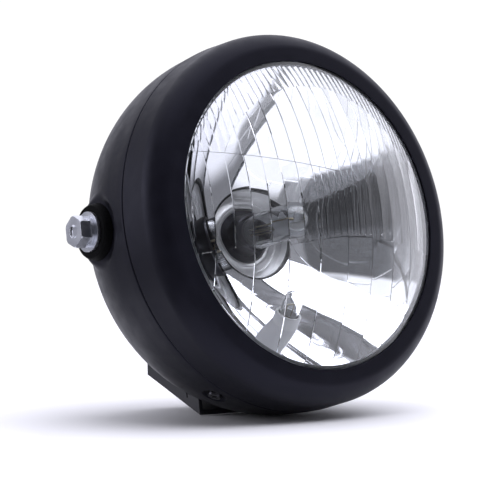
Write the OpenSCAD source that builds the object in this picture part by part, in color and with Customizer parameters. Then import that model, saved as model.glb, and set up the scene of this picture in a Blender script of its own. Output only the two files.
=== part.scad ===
// Round side-mounted motorcycle headlight, millimetres.
// The lamp looks along -Y, +Z is up. The origin is the middle of the side bolt axis,
// where it crosses the optical axis. A depth d is counted backwards from the rim of the glass.

/* [Bucket] */
// Outer radius of the bucket at the seam with the rim ring
bucket_r = 89.7; // [86:0.1:94]
// Sheet thickness of the bucket
bucket_wall = 1.2; // [0.8:0.1:1.6]
// Depth of the bucket's flat back behind the rim of the glass
bucket_depth = 100; // [96:1:120]
// Radius of the round shoulder that closes the back
shoulder_r = 64; // [56:1:66]
// Loss of radius between the seam and the start of the shoulder
bucket_draft = 0.3; // [0:0.1:1]
// Depth of the seam between ring and bucket
seam_d = 24.6; // [22:0.1:28]
// Length of the neck that reaches into the ring
neck_len = 5; // [3:0.5:5.5]

/* [Rim ring] */
// Sheet thickness of the rim ring
ring_wall = 1.0; // [0.8:0.1:1.4]
// Width of the ring between the glass and the outside of the bucket
ring_w = 17.1; // [16:0.1:18]
// Width of the ring's flat face, from the glass to the crease
face_w = 7.2; // [6.4:0.1:7.6]
// Depth of the crease
crease_d = 0.1; // [0:0.1:0.5]
// Distance from the outside of the bucket in to the centre of the ring's rounded side
bulge_in = 13.5; // [13:0.1:14]
// Centre depth of the ring's rounded side
bulge_d = 12.1; // [11:0.1:13]
// Angle at which the rounded side runs into the straight skirt
skirt_angle = 5.4; // [4:0.1:7]
// Open seam between ring and bucket
seam_gap = 0.4; // [0.2:0.1:0.8]
// Clearance between the ring's skirt and the bucket's neck
neck_gap = 0.5; // [0.4:0.1:0.8]

/* [Lens] */
// Height of the glass dome
dome_h = 24.4; // [20:0.1:27]
// Glass thickness at the bottom of the flutes
glass_wall = 3.4; // [3:0.1:4.5]
// Width of the lens flange
flange_w = 6.4; // [5.5:0.1:6.8]
// Thickness of the lens flange
flange_t = 3; // [2:0.1:4]
// Depth of the flange's front face
flange_d = 2; // [1.8:0.1:3]
// Pitch of the wide flutes in the lower field
flute_pitch = 15.15; // [12:0.05:18]
// Height of a flute in the lower field, as a share of its width
lower_rise = 0.04; // [0.02:0.005:0.08]
// Height of a flute in the middle field, as a share of its width
middle_rise = 0.08; // [0.03:0.005:0.12]
// Height of a flute in the upper field, as a share of its width
upper_rise = 0.035; // [0.02:0.005:0.08]
// Height of a fine flute in the crescent, as a share of its width
fine_rise = 0.08; // [0.03:0.005:0.12]
// Step from one field of flutes to the next
field_step = 0.3; // [0.2:0.05:0.4]
// Height at which the lower edge of the upper field meets the centre line
upper_v_z = 14.6; // [10:0.1:20]
// Rise of that edge for each millimetre to the side
upper_v_slope = 0.189; // [0.1:0.001:0.25]
// Depth below the axis at which the lower field starts on the centre line
lower_v_z = 13.9; // [10:0.1:20]
// Fall of the lower field's edge for each millimetre to the side
lower_v_slope = 0.081; // [0:0.001:0.15]
// Width of the crescent of fine flutes at the top, in from the edge of the glass
crescent_w = 14.8; // [12:0.1:18]

/* [Reflector] */
// Focal length of the reflector's paraboloid
focal = 26; // [24:0.1:28]
// Sheet thickness of the reflector
reflector_wall = 1.0; // [0.8:0.1:1.5]
// Width of the plain rim round the reflector's mouth, in from the edge of the glass
mouth_rim = 2.6; // [2:0.1:4]
// Radius of the bulb opening
bulb_hole_r = 22; // [20:0.1:25]
// Radius of the hole in the bulb seat
seat_hole_r = 19; // [18.5:0.1:19.5]
// Distance of the parking lamp hole below the axis
park_r = 46.6; // [44:0.1:50]
// Radius of the parking lamp hole
park_hole_r = 6.3; // [5.8:0.1:7]
// Lean of the parking bulb away from the wall's normal, in degrees
park_lean = 8; // [0:1:12]

/* [Headlamp bulb] */
// Distance from the filament to the bulb's flange
light_centre = 29; // [28:0.1:30]
// Radius of the glass
bulb_glass_r = 8.5; // [7.5:0.1:9]
// Reach of the glass in front of the flange
bulb_reach = 47; // [42:0.5:50]
// Radius of the bulb's flange
bulb_flange_r = 21.3; // [20.5:0.1:21.8]
// Thickness of the bulb's flange
bulb_flange_t = 1.2; // [0.8:0.1:1.6]
// Radius of the wide half of the barrel behind the flange
barrel_r = 17.5; // [16.5:0.1:17.7]
// Radius of the narrow half of the barrel
barrel_end_r = 12.5; // [12:0.1:14]
// Length of the barrel behind the flange
barrel_len = 10; // [8:0.5:12]
// Free length of the contact blades
blade_len = 9; // [7:0.5:10]

/* [Parking bulb] */
// Radius of the parking bulb's glass
park_glass_r = 4.6; // [4:0.1:5]
// Length of the parking bulb's glass in front of its base
park_glass_len = 15; // [12:0.5:18]
// Radius of the parking bulb's metal base
park_base_r = 4.3; // [4:0.1:4.5]
// Length of that base
park_base_len = 14; // [12:0.5:15]
// Height of the holder's collar in front of the reflector
collar_h = 5.5; // [2:0.1:6]

/* [Side mounts] */
// Distance from the rim of the glass back to the side bolts
lens_ahead = 50.5; // [46:0.5:54]
// Depth of the flat pad on each side below the bucket's largest radius
pad_sink = 2.7; // [2.2:0.1:4]
// Radius of the recess around the flat pad
pad_r = 16.8; // [15.5:0.1:19]
// Radius of the part of the pad that stands proud where the bucket curves away
boss_r = 13.8; // [13.4:0.1:15.2]
// Radius of the spacer where it stands on the pad
spacer_base_r = 13.2; // [12.2:0.1:14.5]
// Radius of the spacer's outer face
spacer_face_r = 12; // [11:0.1:12.2]
// Height of the spacer
spacer_h = 4; // [3:0.1:12]
// Thread radius of the side bolts
bolt_r = 4; // [3:0.5:5]
// Width across the flats of the bolt head
bolt_af = 13; // [12:0.5:14]
// Height of the bolt head
bolt_head_h = 5.3; // [4:0.1:6.5]
// Outer radius of the flat washers
washer_r = 9.2; // [8.5:0.1:10.5]
// Thickness of the flat washers
washer_t = 1.5; // [1:0.1:2]
// Thickness of the spring washers
spring_t = 1.8; // [1.4:0.1:2.4]
// Height of the weld nuts
nut_h = 6.5; // [5:0.5:8]
// Radial clearance of the bolt in its thread
thread_gap = 0.05; // [0.02:0.01:0.08]
// Radial clearance of the bolt in plain holes
hole_gap = 0.4; // [0.2:0.1:0.6]

/* [Rim screws] */
// Angle of the rim screws from straight down
rim_screw_angle = 28; // [22:1:36]
// Depth of the rim screws
rim_screw_d = 36; // [35:0.5:38]
// Thread radius of the rim screws
rim_screw_r = 2; // [1.5:0.1:2.5]
// Radius of the recess that the screw head sits in
recess_r = 5.2; // [4.6:0.1:6]
// Depth of that recess
recess_h = 1.6; // [1.2:0.1:2]

/* [Bottom bracket] */
// Width of the bracket over its side walls
bracket_w = 62; // [50:1:70]
// Sheet thickness of the bracket
bracket_t = 2; // [1.5:0.1:2.5]
// Length of the bracket from its front edge to its rear edge
bracket_len = 41; // [36:0.5:46]
// Reach of the bracket's rear edge past the bucket's flat back
bracket_past = 5; // [2:0.5:8]
// Distance of the web's outer face from the bucket at the front edge
bracket_gap = 2.15; // [2:0.05:3]
// Angle at which the web leaves the bucket's underside, in degrees
bracket_lift = 5; // [4:0.5:8]
// Radius of the bolt hole in the web
bracket_hole_r = 4.25; // [3.2:0.05:5.5]

/* [Cable entry] */
// Distance of the cable entry below the axis
entry_z = 11; // [8:1:13]
// Radius of the hole in the bucket
entry_r = 9; // [7:0.5:10]
// Radius of the grommet's bore
grommet_bore_r = 5; // [3:0.5:6]

/* [Hidden] */
$fn = 96;

big = 400;
touch = 0.05;
lens_r = bucket_r - ring_w;
flange_r = lens_r + flange_w;
mouth_r = lens_r - mouth_rim;
crescent_r = lens_r - crescent_w;
crease_r = lens_r + face_w;
bulge_r = bucket_r - bulge_in;
pad_x = bucket_r - pad_sink;
corner_r = bucket_r - bucket_draft - shoulder_r;
corner_d = bucket_depth - shoulder_r;
neck_r = bucket_r - ring_wall - neck_gap;
bulge_rad = norm([crease_r - bulge_r, crease_d - bulge_d]);
dome_r = (lens_r * lens_r + dome_h * dome_h) / (2 * dome_h);
dome_d = dome_r - dome_h;
flange_back = flange_d + flange_t;
vertex_d = flange_back + mouth_r * mouth_r / (4 * focal);
focus_d = vertex_d - focal;
seat_d = focus_d + light_centre;
hole_d = parab(bulb_hole_r);
neck_front = seam_d - neck_len;
spacer_x = pad_x + spacer_h;
washer_x = spacer_x + washer_t;
spring_x = washer_x + spring_t;
bolt_end_x = pad_x - bucket_wall - nut_h - 1;
recess_x = bucket_r - bucket_draft - recess_h;
tab_x = recess_x - bucket_wall - 0.3;
tab_t = 1.5;
boss_h = 9;
boss_flare = 1.2;
face_fall = 0.3;
pad_flare = 3;
pad_cut = 6;
bracket_front_d = bucket_depth + bracket_past - bracket_len;
bracket_rear_d = bucket_depth + bracket_past;
bracket_slope = asin((bracket_front_d - corner_d) / shoulder_r) + bracket_lift;
bracket_drop = outline_r(bracket_front_d) + bracket_gap;
bracket_top = 47.1 - bracket_drop;
clip_w = 8;
clip_t = 0.6;
ring_in_r = lens_r + 0.3;

function y_at(d) = d - lens_ahead;
// Outer radius of the bucket's round shoulder at a depth
function outline_r(d) = corner_r + sqrt(shoulder_r * shoulder_r - (d - corner_d) * (d - corner_d));
function parab(r) = vertex_d - r * r / (4 * focal);
// A point of the reflector's wall, t behind its bright face
function wall_point(r, t) = let (s = r / (2 * focal), n = sqrt(1 + s * s)) [r + t * s / n, parab(r) + t / n];
function steps(a, b, n) = [for (i = [0 : n]) a + (b - a) * i / n];

// Turns a profile of radius and depth about the optical axis
module turned() translate([0, -lens_ahead, 0]) rotate([-90, 0, 0]) rotate_extrude() children();
// Lays a shape drawn along +Z along the optical axis, starting at depth d
module on_axis(d) translate([0, y_at(d), 0]) rotate([-90, 0, 0]) children();
// Lays a shape drawn along +Z outwards along the bolt axis of one side, starting x from the middle
module to_side(side, x) translate([side * x, 0, 0]) rotate([0, side * 90, 0]) children();
// Lays a shape drawn along +Z outwards along a rim screw, starting r from the optical axis
module to_rim_screw(side, r) translate([0, y_at(rim_screw_d), 0])
    rotate([0, side * (180 - rim_screw_angle), 0]) translate([0, 0, r]) children();
// Lays a shape drawn along +Z along the parking bulb, starting at its hole in the reflector
park_angle = 90 - atan(park_r / (2 * focal)) - park_lean;
module at_parking() translate([0, y_at(parab(park_r)), -park_r]) rotate([park_angle, 0, 0]) children();
module tube(r_out, r_in, h) difference() {
    cylinder(r = r_out, h = h);
    translate([0, 0, -1]) cylinder(r = r_in, h = h + 2);
}
module hex(af, h) cylinder(r = af / 2 / cos(30), h = h, $fn = 6);

// Half section of the bucket, filled to the axis and drawn in by t
module bucket_fill(t) {
    back = bucket_depth - t;
    polygon([
        [0, seam_d], [bucket_r - t, seam_d], [corner_r + shoulder_r - t, corner_d],
        [corner_r, corner_d], [corner_r, back], [0, back],
    ]);
    intersection() {
        translate([corner_r, corner_d]) circle(r = shoulder_r - t);
        translate([corner_r, corner_d]) square([big, big]);
    }
}
module bucket_shell() turned() {
    difference() {
        bucket_fill(0);
        bucket_fill(bucket_wall);
    }
    // The neck and the step that joins it to the bucket
    translate([neck_r - bucket_wall, neck_front]) square([bucket_wall, neck_len + bucket_wall]);
    translate([neck_r - bucket_wall, seam_d]) square([bucket_r - neck_r + bucket_wall - 0.1, bucket_wall]);
}
// Room over the flat pad of one side, with sloping walls, grown by t
module pad_cutter(side, t) to_side(side, pad_x - t)
    cylinder(r1 = pad_r + t, r2 = pad_r + t + pad_flare, h = pad_cut);
module bucket() color([0.16, 0.16, 0.18]) difference() {
    union() {
        bucket_shell();
        for (side = [-1, 1]) {
            intersection() {
                pad_cutter(side, bucket_wall);
                turned() bucket_fill(0);
            }
            difference() {
                to_side(side, pad_x - boss_h) cylinder(r1 = boss_r + boss_flare, r2 = boss_r, h = boss_h);
                turned() bucket_fill(bucket_wall);
            }
            to_side(side, pad_x - bucket_wall) cylinder(r = boss_r, h = bucket_wall);
            intersection() {
                to_rim_screw(side, recess_x - bucket_wall) cylinder(r = recess_r + bucket_wall, h = 10);
                turned() bucket_fill(0);
            }
        }
    }
    for (side = [-1, 1]) {
        pad_cutter(side, 0);
        to_side(side, pad_x - bucket_wall - 15) cylinder(r = boss_r - bucket_wall, h = 15);
        to_side(side, pad_x - 15) cylinder(r = bolt_r + hole_gap, h = 30);
        to_rim_screw(side, recess_x) cylinder(r = recess_r, h = 20);
        to_rim_screw(side, recess_x - 10) cylinder(r = rim_screw_r + hole_gap, h = 20);
    }
    translate([0, 0, -entry_z]) on_axis(bucket_depth - 10) cylinder(r = entry_r, h = 20);
}

// Half section of the ring, filled to the axis and drawn in by t
module ring_fill(t) {
    face_slope = face_fall / (crease_r - lens_r);
    front_d = crease_d + t - face_slope * crease_r;
    r = bulge_rad - t;
    end = [bucket_r - t, seam_d - seam_gap + (t > 0 ? 1 : 0)];
    skirt = [bulge_r, bulge_d] + (r - 0.02) * [cos(skirt_angle), -sin(skirt_angle)];
    intersection() {
        polygon([[0, front_d], [big, front_d + face_slope * big], [big, end[1]], [0, end[1]]]);
        union() {
            translate([bulge_r, bulge_d]) circle(r = r);
            polygon([[0, -10], [bulge_r, -10], [bulge_r, bulge_d], skirt, end, [0, end[1]]]);
        }
    }
}
module rim_ring() color([0.13, 0.13, 0.15]) turned() difference() {
    ring_fill(0);
    ring_fill(ring_wall);
    translate([-1, -10]) square([ring_in_r + 1, 60]);
}

// Half section of the glass as seen from outside
module lens_fill() {
    intersection() {
        translate([0, dome_d]) circle(r = dome_r);
        translate([0, -dome_h - 1]) square([lens_r, dome_h + 1.001]);
    }
    square([lens_r, flange_back]);
    translate([0, flange_d]) square([flange_r, flange_t]);
}
// Places of flute edges at an even pitch, from one side of the lens to the other
function even_edges(pitch) = [for (i = [-ceil(lens_r / pitch) : ceil(lens_r / pitch)]) i * pitch];
// The middle field has half as wide flutes at its sides as the lower field, and quarter ones between
middle_edges = concat(
    [for (i = [-10 : -2]) i * flute_pitch / 2],
    [for (i = [-3 : 3]) i * flute_pitch / 4],
    [for (i = [2 : 10]) i * flute_pitch / 2]
);
// Room behind the glass with upright flutes that follow the dome, each a ring about one cross axis
module fluted_room(edges, rise, step) {
    room_r = dome_r - glass_wall - step;
    valley_r = room_r - touch;
    translate([0, y_at(dome_d), 0]) rotate([0, 90, 0]) rotate_extrude() difference() {
        intersection() {
            circle(r = room_r);
            translate([0, -lens_r - 2]) square([big, 2 * lens_r + 4]);
        }
        for (i = [0 : len(edges) - 2]) {
            from = asin(edges[i] / valley_r);
            to = asin(edges[i + 1] / valley_r);
            half = (to - from) / 2;
            w = 2 * valley_r * sin(half);
            h = rise * w;
            ridge_r = (w * w / 4 + h * h) / (2 * h);
            a = from + half;
            translate((valley_r * cos(half) + ridge_r - h) * [cos(a), sin(a)]) circle(r = ridge_r);
        }
    }
}
// A field of the lens between edges given as seen from the front, all the way through
module field(points) rotate([90, 0, 0]) translate([0, 0, -big / 2]) linear_extrude(big) polygon(points);
function v_line(z, slope) = [[-big, z + slope * big], [0, z], [big, z + slope * big]];
upper_edge = v_line(upper_v_z, upper_v_slope);
lower_edge = v_line(-lower_v_z, -lower_v_slope);
module lens_room(r) turned() translate([0, -dome_h]) square([r, dome_h + flange_back + 1]);
module lower_field() intersection() {
    lens_room(mouth_r);
    fluted_room(even_edges(flute_pitch), lower_rise, 0);
    field(concat(lower_edge, [[big, -big], [-big, -big]]));
}
module middle_field() intersection() {
    lens_room(mouth_r);
    fluted_room(middle_edges, middle_rise, field_step);
    field(concat(upper_edge, [lower_edge[2], lower_edge[1], lower_edge[0]]));
}
module crescent_field() difference() {
    intersection() {
        lens_room(mouth_r);
        fluted_room(even_edges(flute_pitch / 5), fine_rise, 2 * field_step);
        field(concat(upper_edge, [[big, big], [-big, big]]));
    }
    lens_room(crescent_r);
}
module upper_field() intersection() {
    lens_room(crescent_r);
    fluted_room(even_edges(flute_pitch / 2), upper_rise, 3 * field_step);
    field(concat(upper_edge, [[big, big], [-big, big]]));
}
module lens() color([0.85, 0.9, 0.95, 0.35]) difference() {
    turned() lens_fill();
    lower_field();
    middle_field();
    crescent_field();
    upper_field();
}
module lens_seal() color([0.1, 0.1, 0.1]) turned() {
    front = crease_d + ring_wall + 0.1;
    translate([lens_r + 1.5, front]) square([flange_r - lens_r - 1.5, flange_d - front]);
}

module reflector() color([0.9, 0.9, 0.92]) difference() {
    turned() {
        radii = steps(bulb_hole_r, mouth_r, 16);
        polygon(concat(
            [for (r = radii) wall_point(r, 0)],
            [[flange_r, flange_back], [flange_r, flange_back + reflector_wall]],
            [for (i = [16 : -1 : 0]) wall_point(radii[i], reflector_wall)]
        ));
        // Neck and bulb seat
        translate([bulb_hole_r, hole_d]) square([reflector_wall, seat_d - hole_d]);
        translate([seat_hole_r, seat_d - reflector_wall])
            square([bulb_hole_r + reflector_wall - seat_hole_r, reflector_wall]);
    }
    at_parking() translate([0, 0, -15]) cylinder(r = park_hole_r, h = 30);
}

// Six bent strips that press the glass and reflector forwards into the ring
module lens_clips() color([0.7, 0.72, 0.75]) for (i = [0 : 5]) rotate([0, i * 60 + 30, 0])
    translate([0, -lens_ahead, 0]) rotate([0, 0, 90]) rotate([90, 0, 0]) translate([0, 0, -clip_w / 2])
    mirror([1, -1, 0]) linear_extrude(clip_w) {
        foot = flange_back + reflector_wall;
        wall_r = bulge_r + bulge_rad - ring_wall - 0.2;
        t = clip_t;
        polygon([
            [flange_r - 6, foot], [flange_r - 1, foot], [flange_r + 2, foot + 6], [wall_r - t, bulge_d - 2],
            [wall_r, bulge_d - 2 + t], [wall_r, bulge_d + 4], [wall_r - t, bulge_d + 4],
            [wall_r - t, bulge_d - 2 + t], [flange_r + 1.8, foot + 6 + t],
            [flange_r - 1.4, foot + t], [flange_r - 6, foot + t],
        ]);
    }

// Half section of a round-nosed glass from its tip back to its root
module nosed(r, tip, root) {
    translate([0, tip + r]) square([r, root - tip - r]);
    intersection() {
        translate([0, tip + r]) circle(r = r);
        translate([0, tip]) square([r, r + 0.5]);
    }
}
// Depths at which the bulb's glass ends in its base, and at which its solid foot starts
glass_end_d = seat_d - 5;
bulb_floor_d = seat_d - 8;
module headlamp_bulb_glass() color([0.9, 0.95, 1, 0.3]) turned() difference() {
    nosed(bulb_glass_r, seat_d - bulb_reach, glass_end_d);
    nosed(bulb_glass_r - 1, seat_d - bulb_reach + 1, bulb_floor_d);
}
// Two coils lying across the axis, on their posts
module headlamp_bulb_filaments() color([0.6, 0.6, 0.62]) {
    coil_len = 5.2;
    post_x = 2.9;
    post_gap = 0.3;
    for (s = [0, 1]) {
        coil_d = focus_d - 7 + 7 * s;
        translate([0, y_at(coil_d), 1.2 - 2.4 * s]) {
            rotate([0, 90, 0]) translate([0, 0, -coil_len / 2]) cylinder(r = 0.7, h = coil_len);
            for (x = [-1, 1]) {
                translate([x * post_x, 0, 0]) rotate([-90, 0, 0])
                    cylinder(r = 0.35, h = bulb_floor_d - coil_d - post_gap);
                translate([x * (post_x - 0.65), 0, 0]) rotate([0, x * 90, 0]) cylinder(r = 0.35, h = 0.8);
            }
        }
    }
}
// Shallow tray under the dipped filament
module headlamp_bulb_shield() color([0.65, 0.65, 0.67]) {
    translate([0, y_at(focus_d - 12), 0]) rotate([-90, 0, 0]) rotate_extrude(angle = 180)
        translate([5, 0]) square([0.5, 9]);
    translate([0, y_at(focus_d - 3.5), -5.25]) rotate([-90, 0, 0])
        cylinder(r = 0.4, h = bulb_floor_d - focus_d + 3.5);
}
barrel_step_d = seat_d + bulb_flange_t + barrel_len / 2;
module headlamp_bulb_base() color([0.75, 0.75, 0.77]) {
    turned() {
        translate([bulb_glass_r + touch, glass_end_d - 4]) square([1, 4 + touch]);
        translate([0, glass_end_d + touch]) square([bulb_glass_r + 1 + touch, seat_d - glass_end_d - touch]);
        translate([0, seat_d]) square([bulb_flange_r, bulb_flange_t]);
        translate([0, seat_d + bulb_flange_t]) square([barrel_r, barrel_len / 2]);
        translate([0, barrel_step_d]) square([barrel_end_r, barrel_len / 2]);
    }
    // Locating tongues of the flange
    for (a = [90, 210, 330]) translate([0, y_at(seat_d), 0]) rotate([0, a, 0])
        translate([bulb_flange_r - 1, 0, -3]) cube([2.4, bulb_flange_t, 6]);
}
blade_d = seat_d + bulb_flange_t + barrel_len;
module headlamp_bulb_blades() color([0.8, 0.78, 0.7]) {
    for (p = [[-6.5, 0, 0.8, 8], [6.5, 0, 0.8, 8], [0, 6.5, 8, 0.8]])
        translate([p[0] - p[2] / 2, y_at(blade_d), p[1] - p[3] / 2]) cube([p[2], blade_len, p[3]]);
}
// Sprung wire that holds the bulb's flange on its seat
wire_r = 0.7;
clip_d = seat_d + bulb_flange_t + wire_r;
clip_bend_r = barrel_r + 1.1;
module bulb_spring_clip() color([0.75, 0.75, 0.72]) on_axis(clip_d) {
    rotate([0, 0, 35]) rotate_extrude(angle = 290) translate([clip_bend_r, 0]) circle(r = wire_r);
    for (a = [35, 325]) rotate([0, 0, a]) translate([clip_bend_r - 1, 0, 0]) rotate([0, 90, 0])
        cylinder(r = wire_r * 1.1, h = bulb_hole_r + reflector_wall - clip_bend_r + 0.6);
}
// Rubber boot from the reflector's neck to the bulb's barrel
module bulb_dust_boot() color([0.08, 0.08, 0.08]) turned() {
    r1 = bulb_hole_r + reflector_wall + touch;
    d1 = seat_d - 7;
    d2 = barrel_step_d + 0.5;
    r2 = barrel_end_r + touch;
    polygon([
        [r1, d1], [r1 + 2, d1], [r1 + 2, d2 - 1], [r1 + 0.5, d2 + 1.6], [r2 + 2, d2 + 1.6],
        [r2 + 2, d2 + 4], [r2, d2 + 4], [r2, d2], [r1 - 1, d2], [r1 + 0.3, d2 - 1.5],
        [r1 + 0.3, seat_d + 0.2], [r1, seat_d],
    ]);
}

module parking_bulb_glass() color([0.9, 0.95, 1, 0.3]) at_parking() mirror([0, 0, 1])
    rotate_extrude() difference() {
        nosed(park_glass_r, -2 - park_glass_len, -2);
        nosed(park_glass_r - 0.7, -1.3 - park_glass_len, -4);
    }
module parking_bulb_filament() color([0.6, 0.6, 0.55]) at_parking() {
    top = park_glass_len - park_glass_r;
    for (x = [-1, 1]) translate([x * 2, 0, 4]) cylinder(r = 0.3, h = top - 4);
    translate([-2, 0, top]) rotate([0, 90, 0]) cylinder(r = 0.35, h = 4);
}
module parking_bulb_base() color([0.75, 0.7, 0.55]) at_parking() {
    translate([0, 0, 2 - park_base_len]) cylinder(r = park_base_r, h = park_base_len);
    translate([0, 0, 1 - park_base_len]) cylinder(r = 2, h = 1);
    for (x = [-1, 1]) translate([x * (park_base_r - 0.1), 0, -7]) rotate([0, x * 90, 0])
        cylinder(r = 0.9, h = 0.9);
}
module parking_lamp_holder() color([0.12, 0.12, 0.12]) difference() {
    union() {
        difference() {
            at_parking() {
                translate([0, 0, -5]) cylinder(r = park_hole_r + 2.6, h = 8);
                translate([0, 0, -16]) cylinder(r = park_hole_r - 0.3, h = 12);
            }
            turned() polygon(concat(
                [[0, -50], [0, wall_point(bulb_hole_r, reflector_wall)[1]]],
                [for (r = steps(bulb_hole_r, mouth_r, 16)) wall_point(r, reflector_wall)],
                [[flange_r + 40, flange_back], [flange_r + 40, -50]]
            ));
        }
        at_parking() translate([0, 0, -5]) cylinder(r = park_hole_r - touch, h = 5 + collar_h);
    }
    at_parking() translate([0, 0, 1 - park_base_len - touch]) cylinder(r = park_base_r + 0.85, h = 40);
    at_parking() translate([0, 0, -20]) cylinder(r = 1.5, h = 10);
}

module spacer(side) color([0.07, 0.07, 0.08]) to_side(side, pad_x) difference() {
    union() {
        cylinder(r1 = spacer_base_r, r2 = spacer_face_r + 0.6, h = spacer_h - 1);
        translate([0, 0, spacer_h - 1]) cylinder(r1 = spacer_face_r + 0.6, r2 = spacer_face_r, h = 1);
    }
    translate([0, 0, -1]) cylinder(r = bolt_r + hole_gap, h = spacer_h + 2);
}
module washer(side) color([0.8, 0.82, 0.85]) to_side(side, spacer_x)
    tube(washer_r, bolt_r + hole_gap, washer_t);
module spring_washer(side) color([0.78, 0.8, 0.84]) to_side(side, washer_x) difference() {
    tube(bolt_af / 2 + 0.7, bolt_r + hole_gap, spring_t);
    rotate([0, 0, 62]) translate([0, -0.6, -1]) cube([20, 1.2, spring_t + 2]);
}
module bolt(side) color([0.82, 0.84, 0.88]) {
    to_side(side, spring_x) difference() {
        intersection() {
            hex(bolt_af, bolt_head_h);
            cylinder(r1 = bolt_af / 2 + 4.2, r2 = bolt_af / 2 - 0.1, h = bolt_head_h + 0.9);
        }
        translate([0, 0, bolt_head_h - 0.7]) cylinder(r1 = 2.2, r2 = 3.6, h = 1);
    }
    to_side(side, bolt_end_x) cylinder(r = bolt_r, h = spring_x - bolt_end_x);
}
module weld_nut(side) color([0.6, 0.6, 0.62]) to_side(side, pad_x - bucket_wall - nut_h) difference() {
    hex(bolt_af, nut_h);
    translate([0, 0, -1]) cylinder(r = bolt_r + thread_gap, h = nut_h + 2);
}

module rim_screw(side) color([0.35, 0.35, 0.37]) {
    to_rim_screw(side, recess_x) difference() {
        cylinder(r1 = 3.5, r2 = 3, h = 1.9);
        for (a = [0, 90]) rotate([0, 0, a]) translate([-2, -0.4, 0.9]) cube([4, 0.8, 2]);
    }
    to_rim_screw(side, tab_x - tab_t - 3) cylinder(r = rim_screw_r, h = recess_x - tab_x + tab_t + 3);
}
// Inner radius of the ring's skirt at a depth
function skirt_in_r(d) = bucket_r - ring_wall - (seam_d - seam_gap - d) * tan(skirt_angle);
// Tongue of the ring that the rim screw pulls on, with its threaded boss
tab_angle = 8;
module rim_tab(side) color([0.5, 0.5, 0.52]) difference() {
    union() {
        turn = side * (90 - rim_screw_angle) + (side < 0 ? 180 : 0);
        rotate([0, turn - tab_angle / 2, 0]) translate([0, -lens_ahead, 0]) rotate([-90, 0, 0])
            rotate_extrude(angle = tab_angle) {
                foot_d = neck_front - 4.6;
                bend_d = neck_front - 1.1;
                leg_d = neck_front + 0.9;
                r1 = skirt_in_r(foot_d) - touch;
                r2 = skirt_in_r(bend_d) - touch;
                polygon([
                    [r1 - tab_t, foot_d], [r1, foot_d], [r2, bend_d], [tab_x, leg_d], [tab_x, rim_screw_d + 5],
                    [tab_x - tab_t, rim_screw_d + 5], [tab_x - tab_t, leg_d - 0.5], [r1 - tab_t, foot_d + 2],
                ]);
            }
        to_rim_screw(side, tab_x - tab_t - 2.5) cylinder(r = rim_screw_r + 1.8, h = 2.6);
    }
    to_rim_screw(side, tab_x - 10) cylinder(r = rim_screw_r + thread_gap, h = 20);
}

// Side view of the bracket, from its web up to well inside the bucket
module bracket_side(t, past) {
    up = t / cos(bracket_slope) - bracket_drop;
    front = bracket_front_d - past;
    rear = bracket_rear_d + past;
    polygon([
        [front, up - past * tan(bracket_slope)],
        [rear, up + tan(bracket_slope) * (rear - bracket_front_d)],
        [rear - 3, bracket_top], [front, bracket_top],
    ]);
}
module bracket_block(t, past, w) translate([0, -lens_ahead, 0]) rotate([90, 0, 90])
    translate([0, 0, -w / 2]) linear_extrude(w) bracket_side(t, past);
bracket_bolt_d = (bracket_front_d + bracket_rear_d) / 2 + 5;
bracket_bolt_z = tan(bracket_slope) * (bracket_bolt_d - bracket_front_d) - bracket_drop;
module at_bracket_bolt() translate([0, y_at(bracket_bolt_d), bracket_bolt_z])
    rotate([bracket_slope, 0, 0]) children();
module bottom_bracket() color([0.12, 0.12, 0.14]) difference() {
    bracket_block(0, 0, bracket_w);
    bracket_block(bracket_t, 8, bracket_w - 2 * bracket_t);
    turned() union() {
        bucket_fill(-touch);
        square([bucket_r, seam_d + 1]);
    }
    at_bracket_bolt() translate([0, 0, -5]) cylinder(r = bracket_hole_r, h = 20);
    for (x = [-1, 1]) translate([x * bracket_w / 2, y_at(bracket_front_d + 9), 11 - bracket_drop])
        cube([8, 1, 3.4], center = true);
}

grommet_lip_w = 2.2;
grommet_lip_t = 2.5;
module cable_grommet() color([0.08, 0.08, 0.08])
    translate([0, 0, -entry_z]) on_axis(bucket_depth - bucket_wall - grommet_lip_t) difference() {
        union() {
            cylinder(r = entry_r + grommet_lip_w, h = grommet_lip_t - touch);
            cylinder(r = entry_r - touch, h = grommet_lip_t + bucket_wall + 1);
            translate([0, 0, grommet_lip_t + bucket_wall + touch])
                cylinder(r1 = entry_r + grommet_lip_w, r2 = entry_r - 1, h = 4);
        }
        translate([0, 0, -1]) cylinder(r = grommet_bore_r, h = 20);
    }

bucket();
rim_ring();
lens();
lens_seal();
reflector();
lens_clips();
headlamp_bulb_glass();
headlamp_bulb_filaments();
headlamp_bulb_shield();
headlamp_bulb_base();
headlamp_bulb_blades();
bulb_spring_clip();
bulb_dust_boot();
parking_bulb_glass();
parking_bulb_filament();
parking_bulb_base();
parking_lamp_holder();
spacer(1);  // left_spacer
spacer(-1);  // right_spacer
washer(1);  // left_washer
washer(-1);  // right_washer
spring_washer(1);  // left_spring_washer
spring_washer(-1);  // right_spring_washer
bolt(1);  // left_bolt
bolt(-1);  // right_bolt
weld_nut(1);  // left_weld_nut
weld_nut(-1);  // right_weld_nut
rim_screw(1);  // left_rim_screw
rim_screw(-1);  // right_rim_screw
rim_tab(1);  // left_rim_tab
rim_tab(-1);  // right_rim_tab
bottom_bracket();
cable_grommet();
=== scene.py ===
# %% [markdown]
# This lesson dresses a round motorcycle headlight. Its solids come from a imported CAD
# frame, and this script adds the looks: paint, glass, mirror, plated steel and light.
# The lamp looks along -Y, +Z is up, and the origin is on the bolt axis of the side mounts.

# %% Load the frame
import bpy
import bmesh
import math
from mathutils import Matrix, Vector


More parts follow.
